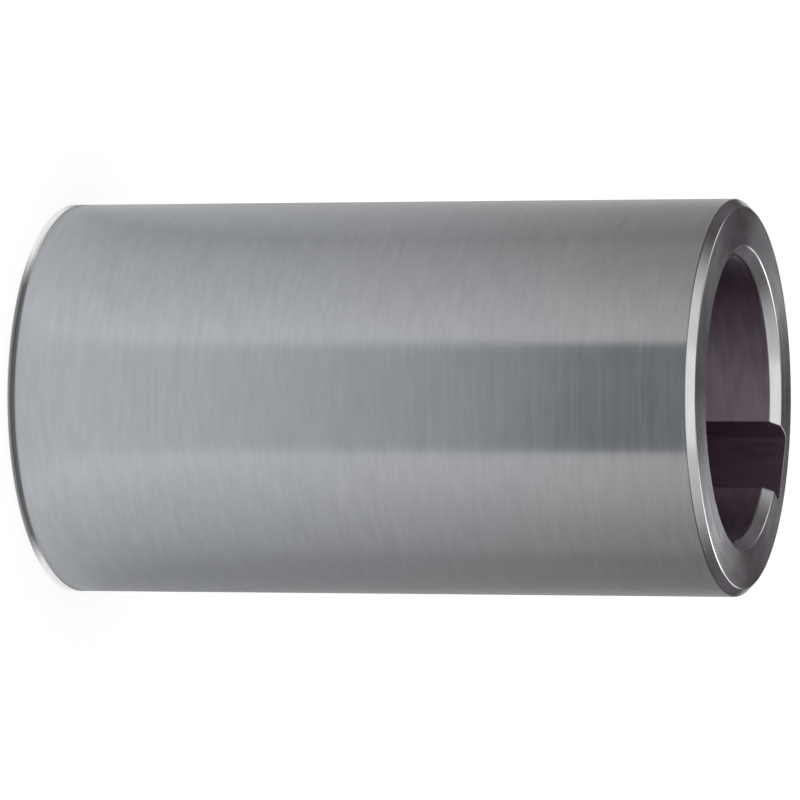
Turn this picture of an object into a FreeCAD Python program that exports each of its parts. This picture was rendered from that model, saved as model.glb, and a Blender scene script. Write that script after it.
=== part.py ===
import FreeCAD, Part
import math
import os
from enum import IntEnum
import Sketcher
from FreeCAD import Vector

# Arbor bushing: a ground steel sleeve that slides on a keyed arbor and runs in a bearing.
# It stands on its lower end face. Z is the axis of the bore, and the keyway is on the +X side.
# All sizes are in millimetres.

SIZES = {
    # Bore that slides on the arbor, 1 1/4 in.
    "bore_diameter": 31.75,
    # Wall between the bore and the ground outside, 1/4 in, for an outside of 1 3/4 in.
    "wall_thickness": 6.35,
    # From end face to end face, 3 1/8 in.
    "sleeve_length": 79.375,
    # Legs of the 45 degree chamfer on the outer edge of each end.
    "rim_chamfer": 0.9,
    # Legs of the 45 degree chamfer at each mouth of the bore.
    "mouth_chamfer": 1.1,
    # Slot for a 5/16 in key, with its side clearance.
    "keyway_width": 8.1,
    # From the wall of the bore, at the middle of the slot, out to the slot's flat floor.
    "keyway_depth": 3.43,
    # Round at the foot of each side of the slot.
    "keyway_corner": 0.8,
}


class Point(IntEnum):
    """How a sketch's constraints number the two ends of a line or an arc."""

    START = 1
    END = 2


class Axis(IntEnum):
    """How they number the sketch's own axes. Its origin is the start of the level one."""

    LEVEL = -1
    UPRIGHT = -2


def sheet_of_sizes(document):
    """The spreadsheet that holds every driving size under its own name."""
    sheet = document.addObject("Spreadsheet::Sheet", "Sizes")
    for row, (name, size) in enumerate(SIZES.items(), start=1):
        sheet.set(f"A{row}", name)
        sheet.set(f"B{row}", str(size))
        sheet.setAlias(f"B{row}", name)
    document.recompute()


def sketch_on(body, role, name):
    """An empty sketch of the body, attached to the plane of its origin with this role."""
    sketch = body.newObject("Sketcher::SketchObject", name)
    plane = next(item for item in body.Origin.OriginFeatures if item.Role == role)
    sketch.AttachmentSupport = [(plane, "")]
    sketch.MapMode = "FlatFace"
    return sketch


def closed_outline(sketch, curves):
    """Lines and arcs that follow each other round: lines stay level or upright, arcs smooth."""
    for curve in curves:
        sketch.addGeometry(curve)
    for number, curve in enumerate(curves):
        following = (number + 1) % len(curves)
        smooth = Part.ArcOfCircle in (type(curve), type(curves[following]))
        joint = "Tangent" if smooth else "Coincident"
        sketch.addConstraint(Sketcher.Constraint(joint, number, Point.END, following, Point.START))
        if isinstance(curve, Part.LineSegment):
            direction = "Horizontal" if curve.StartPoint.y == curve.EndPoint.y else "Vertical"
            sketch.addConstraint(Sketcher.Constraint(direction, number))


def drive(sketch, kind, name, places, formula):
    """A named dimension of the sketch, driven by a formula on the sheet's sizes."""
    value = float(sketch.evalExpression(formula))
    index = sketch.addConstraint(Sketcher.Constraint(kind, *places, value))
    sketch.renameConstraint(index, name)
    sketch.setExpression(f"Constraints.{name}", formula)


def turned_sleeve(body):
    """The plain sleeve: the section of its wall, radius across and height up, spun about Z."""
    sketch = sketch_on(body, "XZ_Plane", "WallSection")
    inner = SIZES["bore_diameter"] / 2
    outer = inner + SIZES["wall_thickness"]
    length = SIZES["sleeve_length"]
    lower_end, outside, upper_end, bore = range(4)
    closed_outline(
        sketch,
        [
            Part.LineSegment(Vector(inner, 0), Vector(outer, 0)),
            Part.LineSegment(Vector(outer, 0), Vector(outer, length)),
            Part.LineSegment(Vector(outer, length), Vector(inner, length)),
            Part.LineSegment(Vector(inner, length), Vector(inner, 0)),
        ],
    )
    sketch.addConstraint(Sketcher.Constraint("PointOnObject", lower_end, Point.START, Axis.LEVEL))
    axis_to_bore = (Axis.LEVEL, Point.START, bore, Point.END)
    bore_to_outside = (upper_end, Point.END, upper_end, Point.START)
    end_to_end = (outside, Point.START, outside, Point.END)
    drive(sketch, "DistanceX", "bore_radius", axis_to_bore, "Sizes.bore_diameter / 2")
    drive(sketch, "DistanceX", "wall", bore_to_outside, "Sizes.wall_thickness")
    drive(sketch, "DistanceY", "length", end_to_end, "Sizes.sleeve_length")

    sleeve = body.newObject("PartDesign::Revolution", "TurnedSleeve")
    sleeve.Profile = sketch
    sleeve.ReferenceAxis = (sketch, ["V_Axis"])
    sleeve.Angle = 360
    return sleeve


def chamfered_circles(body, base, name, radius, size):
    """A 45 degree chamfer on the base's circles of this radius, one at each end."""
    circles = [
        f"Edge{number}"
        for number, edge in enumerate(base.Shape.Edges, start=1)
        if isinstance(edge.Curve, Part.Circle) and math.isclose(edge.Curve.Radius, radius)
    ]
    chamfer = body.newObject("PartDesign::Chamfer", name)
    chamfer.Base = (base, circles)
    chamfer.setExpression("Size", size)
    return chamfer


def broached_keyway(body):
    """The slot for the key: from the axis of the bore out to a flat floor, the whole length."""
    sketch = sketch_on(body, "XY_Plane", "KeywaySection")
    half = SIZES["keyway_width"] / 2
    reach = SIZES["bore_diameter"] / 2 + SIZES["keyway_depth"]
    corner = SIZES["keyway_corner"]
    lower_side, lower_corner, slot_floor, upper_corner, upper_side, mouth = range(6)
    lower_circle = Part.Circle(Vector(reach - corner, corner - half), Vector(0, 0, 1), corner)
    upper_circle = Part.Circle(Vector(reach - corner, half - corner), Vector(0, 0, 1), corner)
    closed_outline(
        sketch,
        [
            Part.LineSegment(Vector(0, -half), Vector(reach - corner, -half)),
            Part.ArcOfCircle(lower_circle, -math.pi / 2, 0),
            Part.LineSegment(Vector(reach, corner - half), Vector(reach, half - corner)),
            Part.ArcOfCircle(upper_circle, 0, math.pi / 2),
            Part.LineSegment(Vector(reach - corner, half), Vector(0, half)),
            Part.LineSegment(Vector(0, half), Vector(0, -half)),
        ],
    )
    sketch.addConstraint(Sketcher.Constraint("PointOnObject", mouth, Point.START, Axis.UPRIGHT))
    axis_to_side = (Axis.LEVEL, Point.START, upper_side, Point.START)
    side_to_side = (lower_side, Point.START, upper_side, Point.END)
    axis_to_floor = (Axis.LEVEL, Point.START, slot_floor, Point.START)
    floor_reach = "Sizes.bore_diameter / 2 + Sizes.keyway_depth"
    drive(sketch, "DistanceY", "half_width", axis_to_side, "Sizes.keyway_width / 2")
    drive(sketch, "DistanceY", "width", side_to_side, "Sizes.keyway_width")
    drive(sketch, "DistanceX", "reach", axis_to_floor, floor_reach)
    drive(sketch, "Radius", "lower_corner", (lower_corner,), "Sizes.keyway_corner")
    drive(sketch, "Radius", "upper_corner", (upper_corner,), "Sizes.keyway_corner")

    keyway = body.newObject("PartDesign::Pocket", "Keyway")
    keyway.Profile = sketch
    keyway.Type = "ThroughAll"
    # The section lies on the lower end face, so the cut runs upwards from it.
    keyway.Reversed = True
    return keyway


def check(document, body, volume_before_keyway):
    """Stops with a message if an object failed, the solid is bad or the keyway cut nothing."""
    for item in document.Objects:
        faults = {"Invalid", "Error"} & set(item.State)
        if faults:
            raise RuntimeError(f"{item.Name} is {sorted(faults)}")
    for sketch in document.findObjects("Sketcher::SketchObject"):
        if not sketch.FullyConstrained:
            raise RuntimeError(f"{sketch.Name} is not fully constrained")
    shape = body.Shape
    if shape.isNull() or not shape.isValid() or len(shape.Solids) != 1:
        raise RuntimeError(f"{body.Label} is not one valid solid")
    if shape.Volume >= volume_before_keyway:
        raise RuntimeError("the keyway cut nothing")


document = FreeCAD.newDocument("arbor_bushing")
sheet_of_sizes(document)

bushing = document.addObject("PartDesign::Body", "Bushing")
bushing.Label = "bushing"
bushing.Placement = FreeCAD.Placement()

bore_radius = SIZES["bore_diameter"] / 2
outer_radius = bore_radius + SIZES["wall_thickness"]
sleeve = turned_sleeve(bushing)
document.recompute()
rims = chamfered_circles(bushing, sleeve, "RimChamfers", outer_radius, "Sizes.rim_chamfer")
document.recompute()
chamfered_circles(bushing, rims, "MouthChamfers", bore_radius, "Sizes.mouth_chamfer")
document.recompute()
volume_before_keyway = bushing.Shape.Volume
broached_keyway(bushing)
document.recompute()

check(document, bushing, volume_before_keyway)
os.makedirs("parts", exist_ok=True)
bushing.Shape.exportStep(f"parts/{bushing.Label}.step")
box = bushing.Shape.BoundBox
print(f"{bushing.Label}: {box.XLength:.3f} by {box.YLength:.3f} by {box.ZLength:.3f} mm")
print(f"volume: {bushing.Shape.Volume:.1f} mm3, {volume_before_keyway:.1f} before the keyway")
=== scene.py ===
import math

import bpy
from mathutils import Matrix, Vector


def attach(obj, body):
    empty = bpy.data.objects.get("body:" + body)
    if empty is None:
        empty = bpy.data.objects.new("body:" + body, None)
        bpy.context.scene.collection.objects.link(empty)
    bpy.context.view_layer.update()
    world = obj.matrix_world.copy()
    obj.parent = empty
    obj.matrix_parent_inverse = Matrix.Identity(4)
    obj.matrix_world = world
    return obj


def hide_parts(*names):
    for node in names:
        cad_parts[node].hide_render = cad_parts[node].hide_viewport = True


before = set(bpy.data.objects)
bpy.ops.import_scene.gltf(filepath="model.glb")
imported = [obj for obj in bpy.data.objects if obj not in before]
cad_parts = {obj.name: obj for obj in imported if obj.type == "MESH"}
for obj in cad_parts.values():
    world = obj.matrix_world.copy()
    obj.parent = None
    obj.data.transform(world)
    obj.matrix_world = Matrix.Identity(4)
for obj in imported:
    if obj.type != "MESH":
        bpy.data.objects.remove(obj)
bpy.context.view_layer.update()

# Arbor bushing: a ground steel sleeve that slides on a keyed arbor and runs in a bearing.
# It stands on its lower end face. Z is the axis of the bore, and the keyway is on the +X side.
# All sizes are in metres.

# The sleeve
# A plain tube of hardened steel, turned, chamfered at all four circles, broached with one keyway
# from end to end, and ground outside. It is one piece: nothing is fixed to it or in it.

BORE_RADIUS = 0.015875
OUTER_RADIUS = 0.022225
LENGTH = 0.079375
RIM_CHAMFER = 0.0009
MOUTH_CHAMFER = 0.0011
# Stoned edges: a small round on every circular edge and along the two sides of the keyway.
CIRCLE_ROUND = 0.00025
KEYWAY_ROUND = 0.00012
KEYWAY_HALF_WIDTH = 0.00405
KEYWAY_REACH = 0.019305
KEYWAY_FOOT = 0.0008
# From a turned edge to where its round meets a 45 degree chamfer, and to the next ring of points.
ROUND_RUN = CIRCLE_ROUND * math.tan(math.radians(22.5))
GUARD = 0.00006


def rounded_section(corners):
    """The closed outline with its corners rounded, and a point on each straight run beside them."""
    outline = []
    for number, corner in enumerate(corners):
        before = (corners[number - 1] - corner).normalized()
        after = (corners[(number + 1) % len(corners)] - corner).normalized()
        centre = corner + (before + after).normalized() * math.hypot(ROUND_RUN, CIRCLE_ROUND)
        start = (corner + before * ROUND_RUN - centre).normalized()
        end = (corner + after * ROUND_RUN - centre).normalized()
        outline.append(corner + before * (ROUND_RUN + GUARD))
        outline += [centre + CIRCLE_ROUND * start.slerp(end, step / 3) for step in range(4)]
        outline.append(corner + after * (ROUND_RUN + GUARD))
    return outline


def with_rings(outline, longest):
    """The closed outline from its first point round to it again, its long runs divided evenly."""
    whole = []
    for here, there in zip(outline, outline[1:] + outline[:1]):
        parts = math.ceil((there - here).length / longest)
        whole += [here.lerp(there, part / parts) for part in range(parts)]
    return whole + outline[:1]


def feed(tree, socket, value):
    """Links the value to the socket, or sets it there if it is a plain number or colour."""
    if isinstance(value, bpy.types.NodeSocket):
        tree.links.new(value, socket)
    else:
        socket.default_value = value


def node(tree, kind, *values, **settings):
    """A new node with these settings and these values on its first inputs."""
    made = tree.nodes.new(kind)
    for name, setting in settings.items():
        setattr(made, name, setting)
    for socket, value in zip(made.inputs, values):
        feed(tree, socket, value)
    return made


def result_of(tree, operation, *values, **settings):
    """The result of a new Math node on the values."""
    return node(tree, "ShaderNodeMath", *values, operation=operation, **settings).outputs[0]


# The wall's section, radius across and height up, goes round from the lower mouth of the bore
# along the lower end, the outside and the upper end, and down the bore.
section = with_rings(
    rounded_section(
        [
            Vector((BORE_RADIUS + MOUTH_CHAMFER, 0)),
            Vector((OUTER_RADIUS - RIM_CHAMFER, 0)),
            Vector((OUTER_RADIUS, RIM_CHAMFER)),
            Vector((OUTER_RADIUS, LENGTH - RIM_CHAMFER)),
            Vector((OUTER_RADIUS - RIM_CHAMFER, LENGTH)),
            Vector((BORE_RADIUS + MOUTH_CHAMFER, LENGTH)),
            Vector((BORE_RADIUS, LENGTH - MOUTH_CHAMFER)),
            Vector((BORE_RADIUS, MOUTH_CHAMFER)),
        ]
    ),
    longest=0.008,
)
travel = [0.0]
for here, there in zip(section, section[1:]):
    travel.append(travel[-1] + (there - here).length)
section_mesh = bpy.data.meshes.new("wall_section")
# Between radius and height, each point holds how far round the section it lies, from 0 to 1.
section_mesh.from_pydata(
    [(point.x, way / travel[-1], point.y) for point, way in zip(section, travel)], [], []
)
section_holder = bpy.data.objects.new("wall_section", section_mesh)
bpy.context.scene.collection.objects.link(section_holder)


def sleeve_tree(finishes):
    """Geometry Nodes that carry the wall's section round the bore, and out round the keyway."""
    tree = bpy.data.node_groups.new("keyed_sleeve", "GeometryNodeTree")
    tree.interface.new_socket("Wall Section", in_out="INPUT", socket_type="NodeSocketGeometry")
    for name in (
        "Mouth Radius",
        "Rim Radius",
        "Keyway Half Width",
        "Keyway Reach",
        "Keyway Foot",
        "Keyway Round",
        "End Round",
        "Sleeve Length",
        "Floor Steps",
        "Foot Steps",
        "Side Steps",
        "Round Steps",
        "Bore Steps",
    ):
        tree.interface.new_socket(name, in_out="INPUT", socket_type="NodeSocketFloat")
    tree.interface.new_socket("Sleeve", in_out="OUTPUT", socket_type="NodeSocketGeometry")
    given = node(tree, "NodeGroupInput").outputs

    def maths(operation, *values, **settings):
        return result_of(tree, operation, *values, **settings)

    def along(first, last, share):
        """The value that lies this share of the way from the first to the last."""
        return maths("MULTIPLY_ADD", maths("SUBTRACT", last, first), share, first)

    # A plain grid: columns go round the sleeve and rows go round its section.
    steps = ["Floor Steps", "Foot Steps", "Side Steps", "Round Steps", "Bore Steps"]
    starts = [0.0]
    for name in steps:
        starts.append(maths("ADD", starts[-1], given[name]))
    half_way = starts.pop()
    columns = maths("ADD", maths("MULTIPLY", half_way, 2.0), 1.0)
    rows = node(
        tree, "GeometryNodeAttributeDomainSize", given["Wall Section"], component="MESH"
    ).outputs["Point Count"]
    grid = node(tree, "GeometryNodeMeshGrid", 1.0, 1.0, columns, rows)
    place = node(tree, "ShaderNodeSeparateXYZ", grid.outputs["UV Map"])
    column = maths("ROUND", maths("MULTIPLY", place.outputs["X"], maths("SUBTRACT", columns, 1.0)))
    row = maths("ROUND", maths("MULTIPLY", place.outputs["Y"], maths("SUBTRACT", rows, 1.0)))

    # The point of the section in this row: its radius, how far round it lies, and its height.
    sample = node(tree, "GeometryNodeSampleIndex", data_type="FLOAT_VECTOR")
    feed(tree, sample.inputs["Geometry"], given["Wall Section"])
    feed(tree, sample.inputs["Value"], node(tree, "GeometryNodeInputPosition").outputs[0])
    feed(tree, sample.inputs["Index"], row)
    point = node(tree, "ShaderNodeSeparateXYZ", sample.outputs["Value"])
    radius, travelled, height = point.outputs

    # How much of each stretch this column has passed, counted from the middle of the keyway.
    off_middle = maths("SUBTRACT", half_way, column)
    passed = maths("SUBTRACT", half_way, maths("ABSOLUTE", off_middle))
    floor_part, foot_part, side_part, round_part, bore_part = (
        maths("DIVIDE", maths("SUBTRACT", passed, start), given[name], use_clamp=True)
        for name, start in zip(steps, starts)
    )

    # Near an end face the keyway opens out by the round on its edge.
    from_end = maths("MINIMUM", height, maths("SUBTRACT", given["Sleeve Length"], height))
    sunk = maths("MAXIMUM", maths("SUBTRACT", given["End Round"], from_end), 0.0)
    left = maths("SUBTRACT", maths("POWER", given["End Round"], 2.0), maths("POWER", sunk, 2.0))
    flare = maths("SUBTRACT", given["End Round"], maths("SQRT", maths("MAXIMUM", left, 0.0)))

    # The keyway: half its floor, the round at its foot, its side, and the round at its edge.
    inner = maths("MINIMUM", radius, given["Mouth Radius"])
    edge = given["Keyway Round"]
    half = maths("ADD", given["Keyway Half Width"], flare)
    foot = maths("ADD", given["Keyway Foot"], flare)
    flat = maths("SUBTRACT", given["Keyway Half Width"], given["Keyway Foot"])
    foot_middle = maths("SUBTRACT", given["Keyway Reach"], given["Keyway Foot"])
    edge_level = maths("ADD", half, edge)
    edge_reach = maths("ADD", inner, edge)
    edge_middle = maths(
        "SQRT",
        maths("SUBTRACT", maths("POWER", edge_reach, 2.0), maths("POWER", edge_level, 2.0)),
    )
    meeting = maths("ARCSINE", maths("DIVIDE", edge_level, edge_reach))
    foot_turn = maths("MULTIPLY", foot_part, math.pi / 2)
    edge_turn = along(-math.pi / 2, maths("SUBTRACT", meeting, math.pi), round_part)
    side_x = along(foot_middle, edge_middle, side_part)
    slot_x = maths("MULTIPLY_ADD", foot, maths("COSINE", foot_turn), side_x)
    slot_x = maths("MULTIPLY_ADD", edge, maths("COSINE", edge_turn), slot_x)
    floor_y = maths("MULTIPLY", flat, floor_part)
    slot_y = maths("MULTIPLY_ADD", foot, maths("SINE", foot_turn), floor_y)
    slot_y = maths("MULTIPLY_ADD", edge, maths("ADD", maths("SINE", edge_turn), 1.0), slot_y)

    # The bore takes over where the keyway's edge meets it.
    bore_turn = along(meeting, math.pi, bore_part)
    in_bore = maths("GREATER_THAN", bore_part, 0.0)
    inner_x = along(slot_x, maths("MULTIPLY", inner, maths("COSINE", bore_turn)), in_bore)
    inner_y = along(slot_y, maths("MULTIPLY", inner, maths("SINE", bore_turn)), in_bore)

    # Across an end face, each column runs straight out to the rim.
    bearing = maths("ARCTAN2", inner_y, inner_x)
    rim = maths("MAXIMUM", radius, given["Rim Radius"])
    face_run = maths("SUBTRACT", given["Rim Radius"], given["Mouth Radius"])
    outwards = maths(
        "DIVIDE", maths("SUBTRACT", radius, given["Mouth Radius"]), face_run, use_clamp=True
    )
    x = along(inner_x, maths("MULTIPLY", rim, maths("COSINE", bearing)), outwards)
    y = along(inner_y, maths("MULTIPLY", rim, maths("SINE", bearing)), outwards)
    y = maths("MULTIPLY", y, maths("SIGN", off_middle))
    where = node(tree, "ShaderNodeCombineXYZ", x, y, height).outputs[0]
    placed = node(tree, "GeometryNodeSetPosition", grid.outputs["Mesh"])
    feed(tree, placed.inputs["Position"], where)

    # A map with the marks of turning and grinding along it, then both seams are closed.
    mapped = node(
        tree,
        "GeometryNodeStoreNamedAttribute",
        placed.outputs[0],
        data_type="FLOAT2",
        domain="CORNER",
    )
    feed(tree, mapped.inputs["Name"], "OFBake")
    feed(
        tree,
        mapped.inputs["Value"],
        node(tree, "ShaderNodeCombineXYZ", place.outputs["X"], travelled).outputs[0],
    )
    closed = node(tree, "GeometryNodeMergeByDistance", mapped.outputs[0])
    closed.inputs["Distance"].default_value = 0.000001
    shape = node(tree, "GeometryNodeSetShadeSmooth", closed.outputs[0]).outputs[0]

    # Which face belongs to which surface. On a sloping face the normal's upward part is over the
    # first of these, and on a level face over the second.
    sloping, flat_on_top = 0.1, 0.95
    position = node(tree, "GeometryNodeInputPosition").outputs[0]
    spot = node(tree, "ShaderNodeSeparateXYZ", position).outputs
    level = node(tree, "ShaderNodeCombineXYZ", spot["X"], spot["Y"]).outputs[0]
    out = node(tree, "ShaderNodeVectorMath", level, operation="LENGTH").outputs["Value"]
    normal = node(tree, "GeometryNodeInputNormal").outputs[0]
    upward = maths("ABSOLUTE", node(tree, "ShaderNodeSeparateXYZ", normal).outputs["Z"])
    keyway_edge = maths("ADD", given["Keyway Half Width"], given["Keyway Round"])
    in_keyway = maths("LESS_THAN", maths("ABSOLUTE", spot["Y"]), keyway_edge)
    in_keyway = maths("MULTIPLY", in_keyway, maths("GREATER_THAN", spot["X"], 0.0))
    beyond_rim = maths("GREATER_THAN", out, given["Rim Radius"])
    regions = {
        "bore": maths("GREATER_THAN", out, 0.0),
        "chamfers": maths("GREATER_THAN", upward, sloping),
        "keyway": maths("GREATER_THAN", in_keyway, beyond_rim),
        "end_faces": maths("GREATER_THAN", upward, flat_on_top),
        "outside": maths("MULTIPLY", beyond_rim, maths("LESS_THAN", upward, sloping)),
    }
    for name, chosen in regions.items():
        finished = node(tree, "GeometryNodeSetMaterial", shape)
        feed(tree, finished.inputs["Selection"], chosen)
        finished.inputs["Material"].default_value = finishes[name]
        shape = finished.outputs[0]
    whole = node(tree, "GeometryNodeRealizeInstances", shape).outputs[0]
    node(tree, "NodeGroupOutput", whole)
    return tree


def steel(name, colour, roughness, anisotropic, marks, mark_depth, mottle, turn=0.25):
    """Cut or ground steel. Marks run round the axis, this many to the metre, so that a light is
    drawn out across them, and mottle says how much the colour clouds. The turn is 0 where the
    marks run lengthwise."""
    material = bpy.data.materials.new(name)
    material.use_nodes = True
    tree = material.node_tree
    shader = tree.nodes["Principled BSDF"].inputs

    def maths(operation, *values, **settings):
        return result_of(tree, operation, *values, **settings)

    def cloud(vector, scale, detail, roughness=0.5):
        """Noise about 0, from roughly -0.3 to 0.3."""
        noise = node(tree, "ShaderNodeTexNoise")
        feed(tree, noise.inputs["Vector"], vector)
        noise.inputs["Scale"].default_value = scale
        noise.inputs["Detail"].default_value = detail
        noise.inputs["Roughness"].default_value = roughness
        return maths("SUBTRACT", noise.outputs[0], 0.5)

    place = node(tree, "ShaderNodeTexCoord").outputs["Object"]
    spot = node(tree, "ShaderNodeSeparateXYZ", place).outputs
    level = node(tree, "ShaderNodeCombineXYZ", spot["X"], spot["Y"]).outputs[0]
    out = node(tree, "ShaderNodeVectorMath", level, operation="LENGTH").outputs["Value"]
    # Across the marks: the height on the walls, and a share of the radius on the end faces.
    across = maths("MULTIPLY_ADD", out, 0.37, spot["Z"])

    def drawn_out(along_marks, across_marks):
        """A place to read noise at, so many units to the metre along the marks and across them."""
        if turn:
            level_scale, rise_scale, up = along_marks, across_marks, across
        else:
            level_scale, rise_scale, up = across_marks, along_marks, spot["Z"]
        stretched = [maths("MULTIPLY", spot[name], level_scale) for name in "XY"]
        rise = maths("MULTIPLY", up, rise_scale)
        return node(tree, "ShaderNodeCombineXYZ", *stretched, rise).outputs[0]

    # The marks themselves, a few centimetres long, and the broader passes of the wheel or tool.
    fine = cloud(drawn_out(38.0, marks), scale=1.0, detail=1.0)
    broad = cloud(drawn_out(38.0, marks), scale=0.21, detail=1.0)
    # Smears left by oily hands and by wiping, and small blotches along the marks.
    smears = cloud(place, scale=71.0, detail=2.0, roughness=0.55)
    blotches = cloud(drawn_out(260.0, 1500.0), scale=1.0, detail=1.0)
    # A few short scratches that cross the marks.
    crossing = node(tree, "ShaderNodeMapping", place)
    crossing.inputs["Rotation"].default_value = (0.5, 0.35, 0.0)
    crossing.inputs["Scale"].default_value = (70.0, 70.0, 2600.0)
    scratch = cloud(crossing.outputs[0], scale=1.0, detail=1.0)
    scratch = maths("MULTIPLY", maths("SUBTRACT", scratch, 0.2), 12.0, use_clamp=True)

    # Each of them shades the colour a little.
    shade = maths("MULTIPLY_ADD", fine, 0.08, 1.0)
    shade = maths("MULTIPLY_ADD", broad, 0.04, shade)
    shade = maths("MULTIPLY_ADD", smears, mottle, shade)
    shade = maths("MULTIPLY_ADD", blotches, mottle, shade)
    shade = maths("MULTIPLY_ADD", scratch, 0.1, shade)
    tinted = node(tree, "ShaderNodeVectorMath", colour, operation="SCALE")
    feed(tree, tinted.inputs["Scale"], shade)
    feed(tree, shader["Base Color"], tinted.outputs[0])
    shader["Metallic"].default_value = 1.0

    # Marks and smears dull the gloss, and the marks and scratches stand in relief.
    rough = maths("MULTIPLY_ADD", fine, 0.05, roughness)
    rough = maths("MULTIPLY_ADD", smears, 0.16, rough)
    rough = maths("MULTIPLY_ADD", scratch, 0.05, rough)
    feed(tree, shader["Roughness"], rough)
    shader["Anisotropic"].default_value = anisotropic
    shader["Anisotropic Rotation"].default_value = turn
    tangent = node(tree, "ShaderNodeTangent", direction_type="RADIAL", axis="Z")
    feed(tree, shader["Tangent"], tangent.outputs[0])
    height = maths("MULTIPLY_ADD", scratch, -0.5, maths("ADD", fine, broad))
    bump = node(tree, "ShaderNodeBump")
    bump.inputs["Distance"].default_value = mark_depth
    feed(tree, bump.inputs["Height"], height)
    feed(tree, shader["Normal"], bump.outputs[0])
    return material


finishes = {
    "outside": steel(
        "ground_outside",
        (0.446, 0.456, 0.472),
        roughness=0.25,
        anisotropic=0.9,
        marks=2400,
        mark_depth=0.0000016,
        mottle=0.16,
    ),
    "end_faces": steel(
        "ground_end_faces",
        (0.415, 0.415, 0.43),
        roughness=0.25,
        anisotropic=0.95,
        marks=4200,
        mark_depth=0.000004,
        mottle=0.75,
    ),
    "chamfers": steel(
        "turned_chamfers",
        (0.51, 0.51, 0.52),
        roughness=0.17,
        anisotropic=0.6,
        marks=2600,
        mark_depth=0.000003,
        mottle=0.15,
    ),
    # The bore and the keyway are darker and purple: painted shade, the purple tone of their shaded
    # hollows.
    "bore": steel(
        "honed_bore_painted_shade",
        (0.37, 0.3, 0.35),
        roughness=0.45,
        anisotropic=0.95,
        marks=2000,
        mark_depth=0.000006,
        mottle=0.5,
    ),
    "keyway": steel(
        "broached_keyway_painted_shade",
        (0.42, 0.31, 0.38),
        roughness=0.45,
        anisotropic=0.7,
        marks=2000,
        mark_depth=0.000006,
        mottle=0.4,
        turn=0.0,
    ),
}
tree = sleeve_tree(finishes)
spread = section_holder.modifiers.new("sleeve", "NODES")
spread.node_group = tree
sizes = {
    "Mouth Radius": BORE_RADIUS + MOUTH_CHAMFER + ROUND_RUN,
    "Rim Radius": OUTER_RADIUS - RIM_CHAMFER - ROUND_RUN,
    "Keyway Half Width": KEYWAY_HALF_WIDTH,
    "Keyway Reach": KEYWAY_REACH,
    "Keyway Foot": KEYWAY_FOOT,
    "Keyway Round": KEYWAY_ROUND,
    "End Round": ROUND_RUN * math.sin(math.radians(45)),
    "Sleeve Length": LENGTH,
    "Floor Steps": 6.0,
    "Foot Steps": 5.0,
    "Side Steps": 6.0,
    "Round Steps": 3.0,
    "Bore Steps": 132.0,
}
for item in tree.interface.items_tree:
    if item.name in sizes:
        spread[item.identifier] = sizes[item.name]
evaluated = section_holder.evaluated_get(bpy.context.evaluated_depsgraph_get())
sleeve_mesh = bpy.data.meshes.new_from_object(evaluated)
sleeve_mesh.name = "sleeve"
bpy.data.objects.remove(section_holder)
sleeve = bpy.data.objects.new("sleeve", sleeve_mesh)
bpy.context.scene.collection.objects.link(sleeve)
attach(sleeve, "root")
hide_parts("bushing")

# The camera
# It stands where the photo was taken from, a little above the sleeve and with a long lens, and it
# is rolled so that the sleeve's upper end points to the right of the picture.

LOOK_ROUND = math.radians(24.8)
LOOK_DOWN = math.radians(17.5)
LENS = 295.07
# How far the camera stands from the middle of the sleeve, and how far to the left of it and below
# it in the picture.
STAND_BACK = 0.7434
STAND_LEFT = 0.00058
STAND_LOW = 0.000244
away = Vector((math.cos(LOOK_ROUND), math.sin(LOOK_ROUND), 0))
picture_up = Vector((-math.sin(LOOK_ROUND), math.cos(LOOK_ROUND), 0))
axis = Vector((0, 0, 1))
picture_right = math.cos(LOOK_DOWN) * axis + math.sin(LOOK_DOWN) * away
backwards = math.sin(LOOK_DOWN) * axis - math.cos(LOOK_DOWN) * away
middle = Vector((0, 0, LENGTH / 2))
stand = middle + STAND_BACK * backwards - STAND_LEFT * picture_right - STAND_LOW * picture_up
camera = bpy.data.objects.new("camera", bpy.data.cameras.new("camera"))
bpy.context.scene.collection.objects.link(camera)
camera.data.lens = LENS
camera.data.sensor_width = 36
camera.data.clip_start = 0.01
turned = Matrix((picture_right, picture_up, backwards)).transposed()
camera.matrix_world = Matrix.LocRotScale(stand, turned, None)
bpy.context.scene.camera = camera

# The floor and the room
# A plain white sheet that goes far back, in an even white room. The camera, metal and glass see
# both as white, and the sheet keeps the sleeve's shadow.

FLOOR_RADIUS = 6.0
FLOOR_STEPS = 64
FLOOR_GLOW = 0.64
ROOM_LIGHT = 0.5
# Under the sleeve the sheet glows this much at the two sides, in a strip that lies across the way
# to the camera. The strip begins behind the axis and ends in front of it, softly at both edges.
SIDE_GLOW = 0.8
STRIP_BACK = (-0.004, 0.003)
STRIP_FRONT = (0.0163, 0.0127)
# The strip is turned by a little from the camera's line.
STRIP_TURN = 0.09


def shown_white(tree):
    """1 on rays from the camera, from metal and through glass, and 0 on the others."""
    path = node(tree, "ShaderNodeLightPath").outputs
    seen = result_of(tree, "MAXIMUM", path["Is Camera Ray"], path["Is Glossy Ray"])
    return result_of(tree, "MAXIMUM", seen, path["Is Transmission Ray"])


floor_material = bpy.data.materials.new("white_floor")
floor_material.use_nodes = True
floor_nodes = floor_material.node_tree
paper = floor_nodes.nodes["Principled BSDF"]
paper.inputs["Base Color"].default_value = (0.8, 0.8, 0.8, 1.0)
paper.inputs["Roughness"].default_value = 1.0
paper.inputs["Specular IOR Level"].default_value = 0.0
paper.inputs["Emission Color"].default_value = (1.0, 1.0, 1.0, 1.0)
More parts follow.
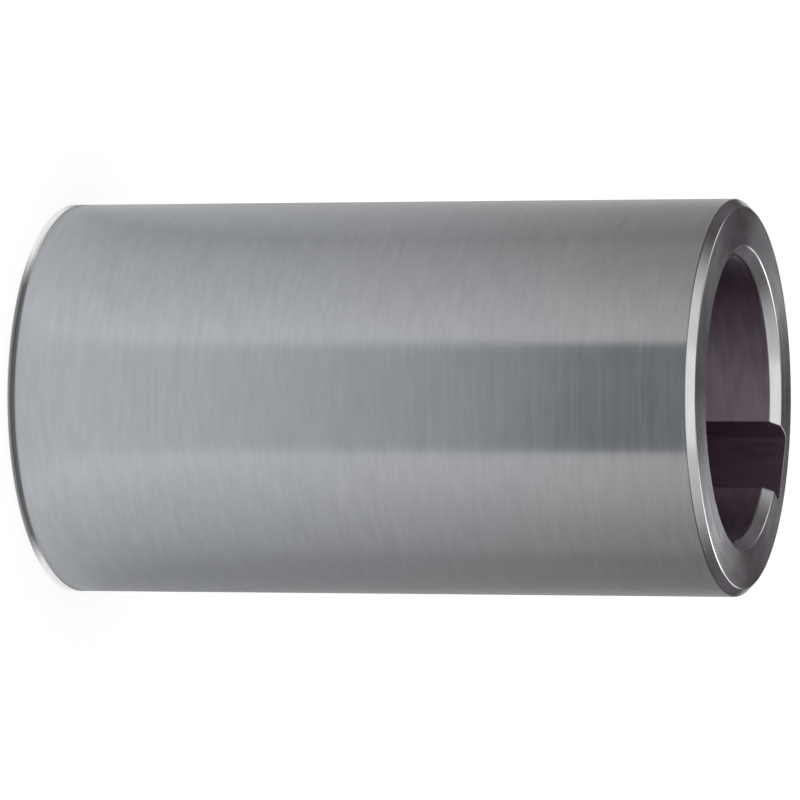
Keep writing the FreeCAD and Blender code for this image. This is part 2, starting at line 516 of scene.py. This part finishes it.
# Nothing lights the sheet under the sleeve's lower chamfer, so it doesn't glow there, except at
# the two sides, where some light gets in.
strip_way = tuple(-away - STRIP_TURN * picture_up)
place = node(floor_nodes, "ShaderNodeTexCoord").outputs["Object"]
from_axis = node(floor_nodes, "ShaderNodeVectorMath", place, operation="LENGTH").outputs["Value"]
nearness = node(
    floor_nodes, "ShaderNodeVectorMath", place, strip_way, operation="DOT_PRODUCT"
).outputs["Value"]
front, back = (
    node(floor_nodes, "ShaderNodeMapRange", nearness, *edge, 0.0, SIDE_GLOW).outputs[0]
    for edge in (STRIP_FRONT, STRIP_BACK)
)
in_the_open = result_of(floor_nodes, "GREATER_THAN", from_axis, OUTER_RADIUS)
strip = result_of(floor_nodes, "MINIMUM", front, back)
in_the_open = result_of(floor_nodes, "MAXIMUM", in_the_open, strip)
glow = result_of(floor_nodes, "MULTIPLY", shown_white(floor_nodes), in_the_open)
glow = result_of(floor_nodes, "MULTIPLY", glow, FLOOR_GLOW)
feed(floor_nodes, paper.inputs["Emission Strength"], glow)
floor_mesh = bpy.data.meshes.new("floor")
floor_turns = [math.tau * step / FLOOR_STEPS for step in range(FLOOR_STEPS)]
floor_mesh.from_pydata(
    [(FLOOR_RADIUS * math.cos(turn), FLOOR_RADIUS * math.sin(turn), 0) for turn in floor_turns],
    [],
    [range(FLOOR_STEPS)],
)
floor_mesh.materials.append(floor_material)
floor = bpy.data.objects.new("floor", floor_mesh)
bpy.context.scene.collection.objects.link(floor)

world = bpy.data.worlds.new("white_room")
world.use_nodes = True
bpy.context.scene.world = world
room = world.node_tree
background = room.nodes["Background"]
background.inputs["Color"].default_value = (1.0, 1.0, 1.0, 1.0)
strength = result_of(room, "MULTIPLY_ADD", shown_white(room), 1 - ROOM_LIGHT, ROOM_LIGHT)
feed(room, background.inputs["Strength"], strength)

# The light tent
# Shiny steel is photographed inside a low wall of pale cloth, which also covers the table up to
# the sleeve and has a gap for the camera. Only reflections see it: it gives the ground outside its
# bands and throws no light itself.

TENT_RADIUS = 0.122
TENT_FOOT = 0.0225
TENT_HEIGHT = 0.076
# The cloth lies this far above the table.
CLOTH_LIFT = 0.0002
WALL_STEPS = 96
TABLE_TINT = (0.98, 1.0, 1.02)
WALL_TINT = (1.03, 1.0, 0.98)
# What shows in the gap, where the camera stands.
GAP_TINT = (0.92, 1.0, 1.08)
# A level up to this is a place in shade.
SHADE_LEVEL = 0.2
# The table's levels pass into the wall's over the outer part of the table, which starts here and
# counts as rising this much, and up to this height of the wall.
OUTER_TABLE = 0.05
TABLE_RISE = 0.1
WALL_REACHED = 0.055
# Little light gets in under the lower chamfer, out to this radius.
SHADOW_END = 0.0236
SHADOW_GLOW = 0.2


def glow_round(tree, share, levels, cloth, shade):
    """The glow all round, from levels given at bearings off the camera, in degrees, with the
    tint of lit cloth and the tint of what lies in shade."""
    ramp = node(tree, "ShaderNodeValToRGB", share)
    elements = ramp.color_ramp.elements
    while len(elements) < len(levels):
        elements.new(1.0)
    for element, (bearing, level) in zip(elements, levels):
        element.position = 0.5 + bearing / 360
        tint = cloth if level > SHADE_LEVEL else shade
        element.color = (level * tint[0], level * tint[1], level * tint[2], 1.0)
    return ramp.outputs["Color"]


def turned_wall(name, outline, material):
    """A stage piece that only reflections see: an outline of radius and height, carried round."""
    mesh = bpy.data.meshes.new(name)
    turns = [math.tau * step / WALL_STEPS for step in range(WALL_STEPS)]
    points = [
        (radius * math.cos(turn), radius * math.sin(turn), height)
        for radius, height in outline
        for turn in turns
    ]
    faces = []
    for ring in range(0, WALL_STEPS * (len(outline) - 1), WALL_STEPS):
        for step in range(WALL_STEPS):
            here = ring + step
            beside = ring + (step + 1) % WALL_STEPS
            faces.append((here, here + WALL_STEPS, beside + WALL_STEPS, beside))
    mesh.from_pydata(points, [], faces)
    mesh.materials.append(material)
    wall = bpy.data.objects.new(name, mesh)
    bpy.context.scene.collection.objects.link(wall)
    wall.visible_camera = False
    wall.visible_diffuse = False
    wall.visible_transmission = False
    wall.visible_shadow = False


def glowing(name):
    """A material that only glows, its tree, the share of the turn round it and the height on it."""
    material = bpy.data.materials.new(name)
    material.use_nodes = True
    material.cycles.emission_sampling = "NONE"
    tree = material.node_tree
    tree.nodes.clear()
    place = node(tree, "ShaderNodeTexCoord").outputs["Object"]
    across = []
    for way in (picture_up, -away):
        reach = node(tree, "ShaderNodeVectorMath", place, tuple(way), operation="DOT_PRODUCT")
        across.append(reach.outputs["Value"])
    # 0.5 towards the camera, rising to 1 round the side that is at the top of the picture.
    share = result_of(tree, "MULTIPLY_ADD", result_of(tree, "ARCTAN2", *across), 1 / math.tau, 0.5)
    height = node(tree, "ShaderNodeSeparateXYZ", place).outputs["Z"]
    return material, tree, share, height


tent_material, cloth, share, height = glowing("tent_cloth")
table_levels = [
    (-180, 0.45),
    (-155, 0.42),
    (-140, 0.38),
    (-130, 0.41),
    (-118, 0.43),
    (-103, 0.48),
    (-75, 0.71),
    (-45, 0.9),
    (-28, 1.03),
    (-26, 0.95),
    (26, 0.95),
    (28, 1.03),
    (45, 0.92),
    (75, 0.76),
    (97, 0.6),
    (108, 0.65),
    (133, 0.65),
    (147, 0.57),
    (180, 0.46),
]
wall_levels = [
    (-180, 0.4),
    (-155, 0.39),
    (-132, 0.31),
    (-96, 0.32),
    (-92, 0.4),
    (-75, 0.45),
    (-60, 0.56),
    (-45, 0.67),
    (-29.5, 0.69),
    (-28, 0.12),
    (28, 0.12),
    (29.5, 0.74),
    (45, 0.67),
    (60, 0.56),
    (75, 0.47),
    (92, 0.42),
    (96, 0.35),
    (132, 0.43),
    (155, 0.6),
    (180, 0.5),
]
place = node(cloth, "ShaderNodeTexCoord").outputs["Object"]
from_axis = node(cloth, "ShaderNodeVectorMath", place, operation="LENGTH").outputs["Value"]
risen = result_of(cloth, "MULTIPLY_ADD", from_axis, TABLE_RISE, -TABLE_RISE * OUTER_TABLE)
risen = result_of(cloth, "ADD", result_of(cloth, "MAXIMUM", risen, 0.0), height)
risen = result_of(cloth, "DIVIDE", risen, WALL_REACHED, use_clamp=True)
glow = node(
    cloth,
    "ShaderNodeMixRGB",
    risen,
    glow_round(cloth, share, table_levels, TABLE_TINT, TABLE_TINT),
    glow_round(cloth, share, wall_levels, WALL_TINT, GAP_TINT),
).outputs[0]
out_of_shadow = node(
    cloth, "ShaderNodeMapRange", from_axis, TENT_FOOT, SHADOW_END, SHADOW_GLOW, 1.0
).outputs[0]
lit_cloth = node(cloth, "ShaderNodeEmission", glow, out_of_shadow).outputs[0]
node(cloth, "ShaderNodeOutputMaterial", lit_cloth)
tent_outline = [(TENT_FOOT, CLOTH_LIFT), (TENT_RADIUS, CLOTH_LIFT), (TENT_RADIUS, TENT_HEIGHT)]
turned_wall("tent", tent_outline, tent_material)

# The dome
# A large dim dome of cloth stands over the tent, with one big soft light high up and five smaller
# ones far behind the sleeve. Only reflections see it: the end faces and the chamfers show it.

DOME_RADIUS = 2.0
# The dome is open at its very top by this much.
TOP_HOLE = 0.001
LOW_TINT = (0.99, 1.02, 1.02)
HIGH_TINT = (1.0, 1.0, 1.0)
# The dark parts of the dome have a little purple in them.
LOW_SHADE_TINT = (1.08, 0.95, 1.06)
HIGH_SHADE_TINT = (1.04, 0.98, 1.04)
# The low levels pass into the high ones between these shares of the radius up.
LOW_TOP = 0.58
HIGH_FOOT = 0.78
# Along its foot the dome is darker still: from this height up to that, and how dark at the first.
FOOT_HEIGHTS = (0.1, 0.8)
FOOT_GLOW = 0.35

dome_material, dome, share, height = glowing("dome_cloth")
low_levels = [
    (-180, 0.06),
    (-172, 0.2),
    (-150, 0.2),
    (-130, 0.1),
    (-75, 0.12),
    (-45, 0.3),
    (-28, 0.52),
    (28, 0.52),
    (45, 0.3),
    (75, 0.14),
    (130, 0.1),
    (150, 0.2),
    (172, 0.2),
    (180, 0.06),
]
high_levels = [
    (-180, 0.05),
    (-140, 0.12),
    (-110, 0.5),
    (-85, 0.88),
    (85, 1.15),
    (110, 0.62),
    (140, 0.12),
    (180, 0.05),
]
risen = node(
    dome, "ShaderNodeMapRange", height, LOW_TOP * DOME_RADIUS, HIGH_FOOT * DOME_RADIUS
).outputs[0]
glow = node(
    dome,
    "ShaderNodeMixRGB",
    risen,
    glow_round(dome, share, low_levels, LOW_TINT, LOW_SHADE_TINT),
    glow_round(dome, share, high_levels, HIGH_TINT, HIGH_SHADE_TINT),
).outputs[0]
clear = node(dome, "ShaderNodeMapRange", height, *FOOT_HEIGHTS, FOOT_GLOW, 1.0).outputs[0]
dimmed = node(dome, "ShaderNodeVectorMath", glow, operation="SCALE")
feed(dome, dimmed.inputs["Scale"], clear)
glow = dimmed.outputs[0]
place = node(dome, "ShaderNodeTexCoord").outputs["Object"]
upper_end = (0, 0, LENGTH)
line = node(dome, "ShaderNodeVectorMath", place, upper_end, operation="SUBTRACT").outputs[0]
line = node(dome, "ShaderNodeVectorMath", line, operation="NORMALIZE").outputs[0]
# Bearing off the camera, elevation, half width where it is full and where it ends, all in
# degrees, and level.
soft_lights = [
    (8, 66, 21, 33, 1.08),
    (-163, 21, 5, 11, 1.5),
    (-158, 57, 6, 13, 1.6),
    (-156, 40, 8, 16, 4.1),
    (154, 40, 8, 16, 1.4),
    (158, 57, 6, 13, 0.6),
]
for bearing, elevation, full, none, level in soft_lights:
    turn = math.radians(bearing)
    rise = math.radians(elevation)
    level_way = math.cos(turn) * -away + math.sin(turn) * picture_up
    way = math.cos(rise) * level_way + math.sin(rise) * axis
    near = node(dome, "ShaderNodeVectorMath", line, tuple(way), operation="DOT_PRODUCT")
    lit = node(
        dome,
        "ShaderNodeMapRange",
        near.outputs["Value"],
        math.cos(math.radians(none)),
        math.cos(math.radians(full)),
        interpolation_type="SMOOTHSTEP",
    ).outputs[0]
    glow = node(dome, "ShaderNodeMixRGB", lit, glow, (level, level, level, 1.0)).outputs[0]
node(dome, "ShaderNodeOutputMaterial", node(dome, "ShaderNodeEmission", glow, 1.0).outputs[0])
dome_outline = [(DOME_RADIUS, CLOTH_LIFT)]
for elevation in range(0, 90, 5):
    rise = math.radians(elevation)
    dome_outline.append((DOME_RADIUS * math.cos(rise), LENGTH + DOME_RADIUS * math.sin(rise)))
dome_outline.append((TOP_HOLE, LENGTH + DOME_RADIUS))
turned_wall("dome", dome_outline, dome_material)

# The top light
# One large soft lamp hangs over the open top of the tent, a little towards the camera. With the
# white room it lights the sleeve and the floor at a plain level.

TOP_LIGHT_SIZE = 0.4
TOP_LIGHT_DISTANCE = 0.6
TOP_LIGHT_RISE = math.radians(72)
# Its glow, over the white of the room.
TOP_LIGHT_GLOW = 0.25

top_light = bpy.data.objects.new("top_light", bpy.data.lights.new("top_light", "AREA"))
bpy.context.scene.collection.objects.link(top_light)
top_light.data.shape = "DISK"
top_light.data.size = TOP_LIGHT_SIZE
# A disk glows at its power over pi times its area.
top_light.data.energy = TOP_LIGHT_GLOW * math.pi * math.pi * (TOP_LIGHT_SIZE / 2) ** 2
overhead = math.sin(TOP_LIGHT_RISE) * axis - math.cos(TOP_LIGHT_RISE) * away
top_light.location = middle + TOP_LIGHT_DISTANCE * overhead
top_light.rotation_euler = (top_light.location - middle).to_track_quat("Z", "Y").to_euler()
top_light.visible_camera = False

bpy.context.scene.view_settings.view_transform = "Standard"
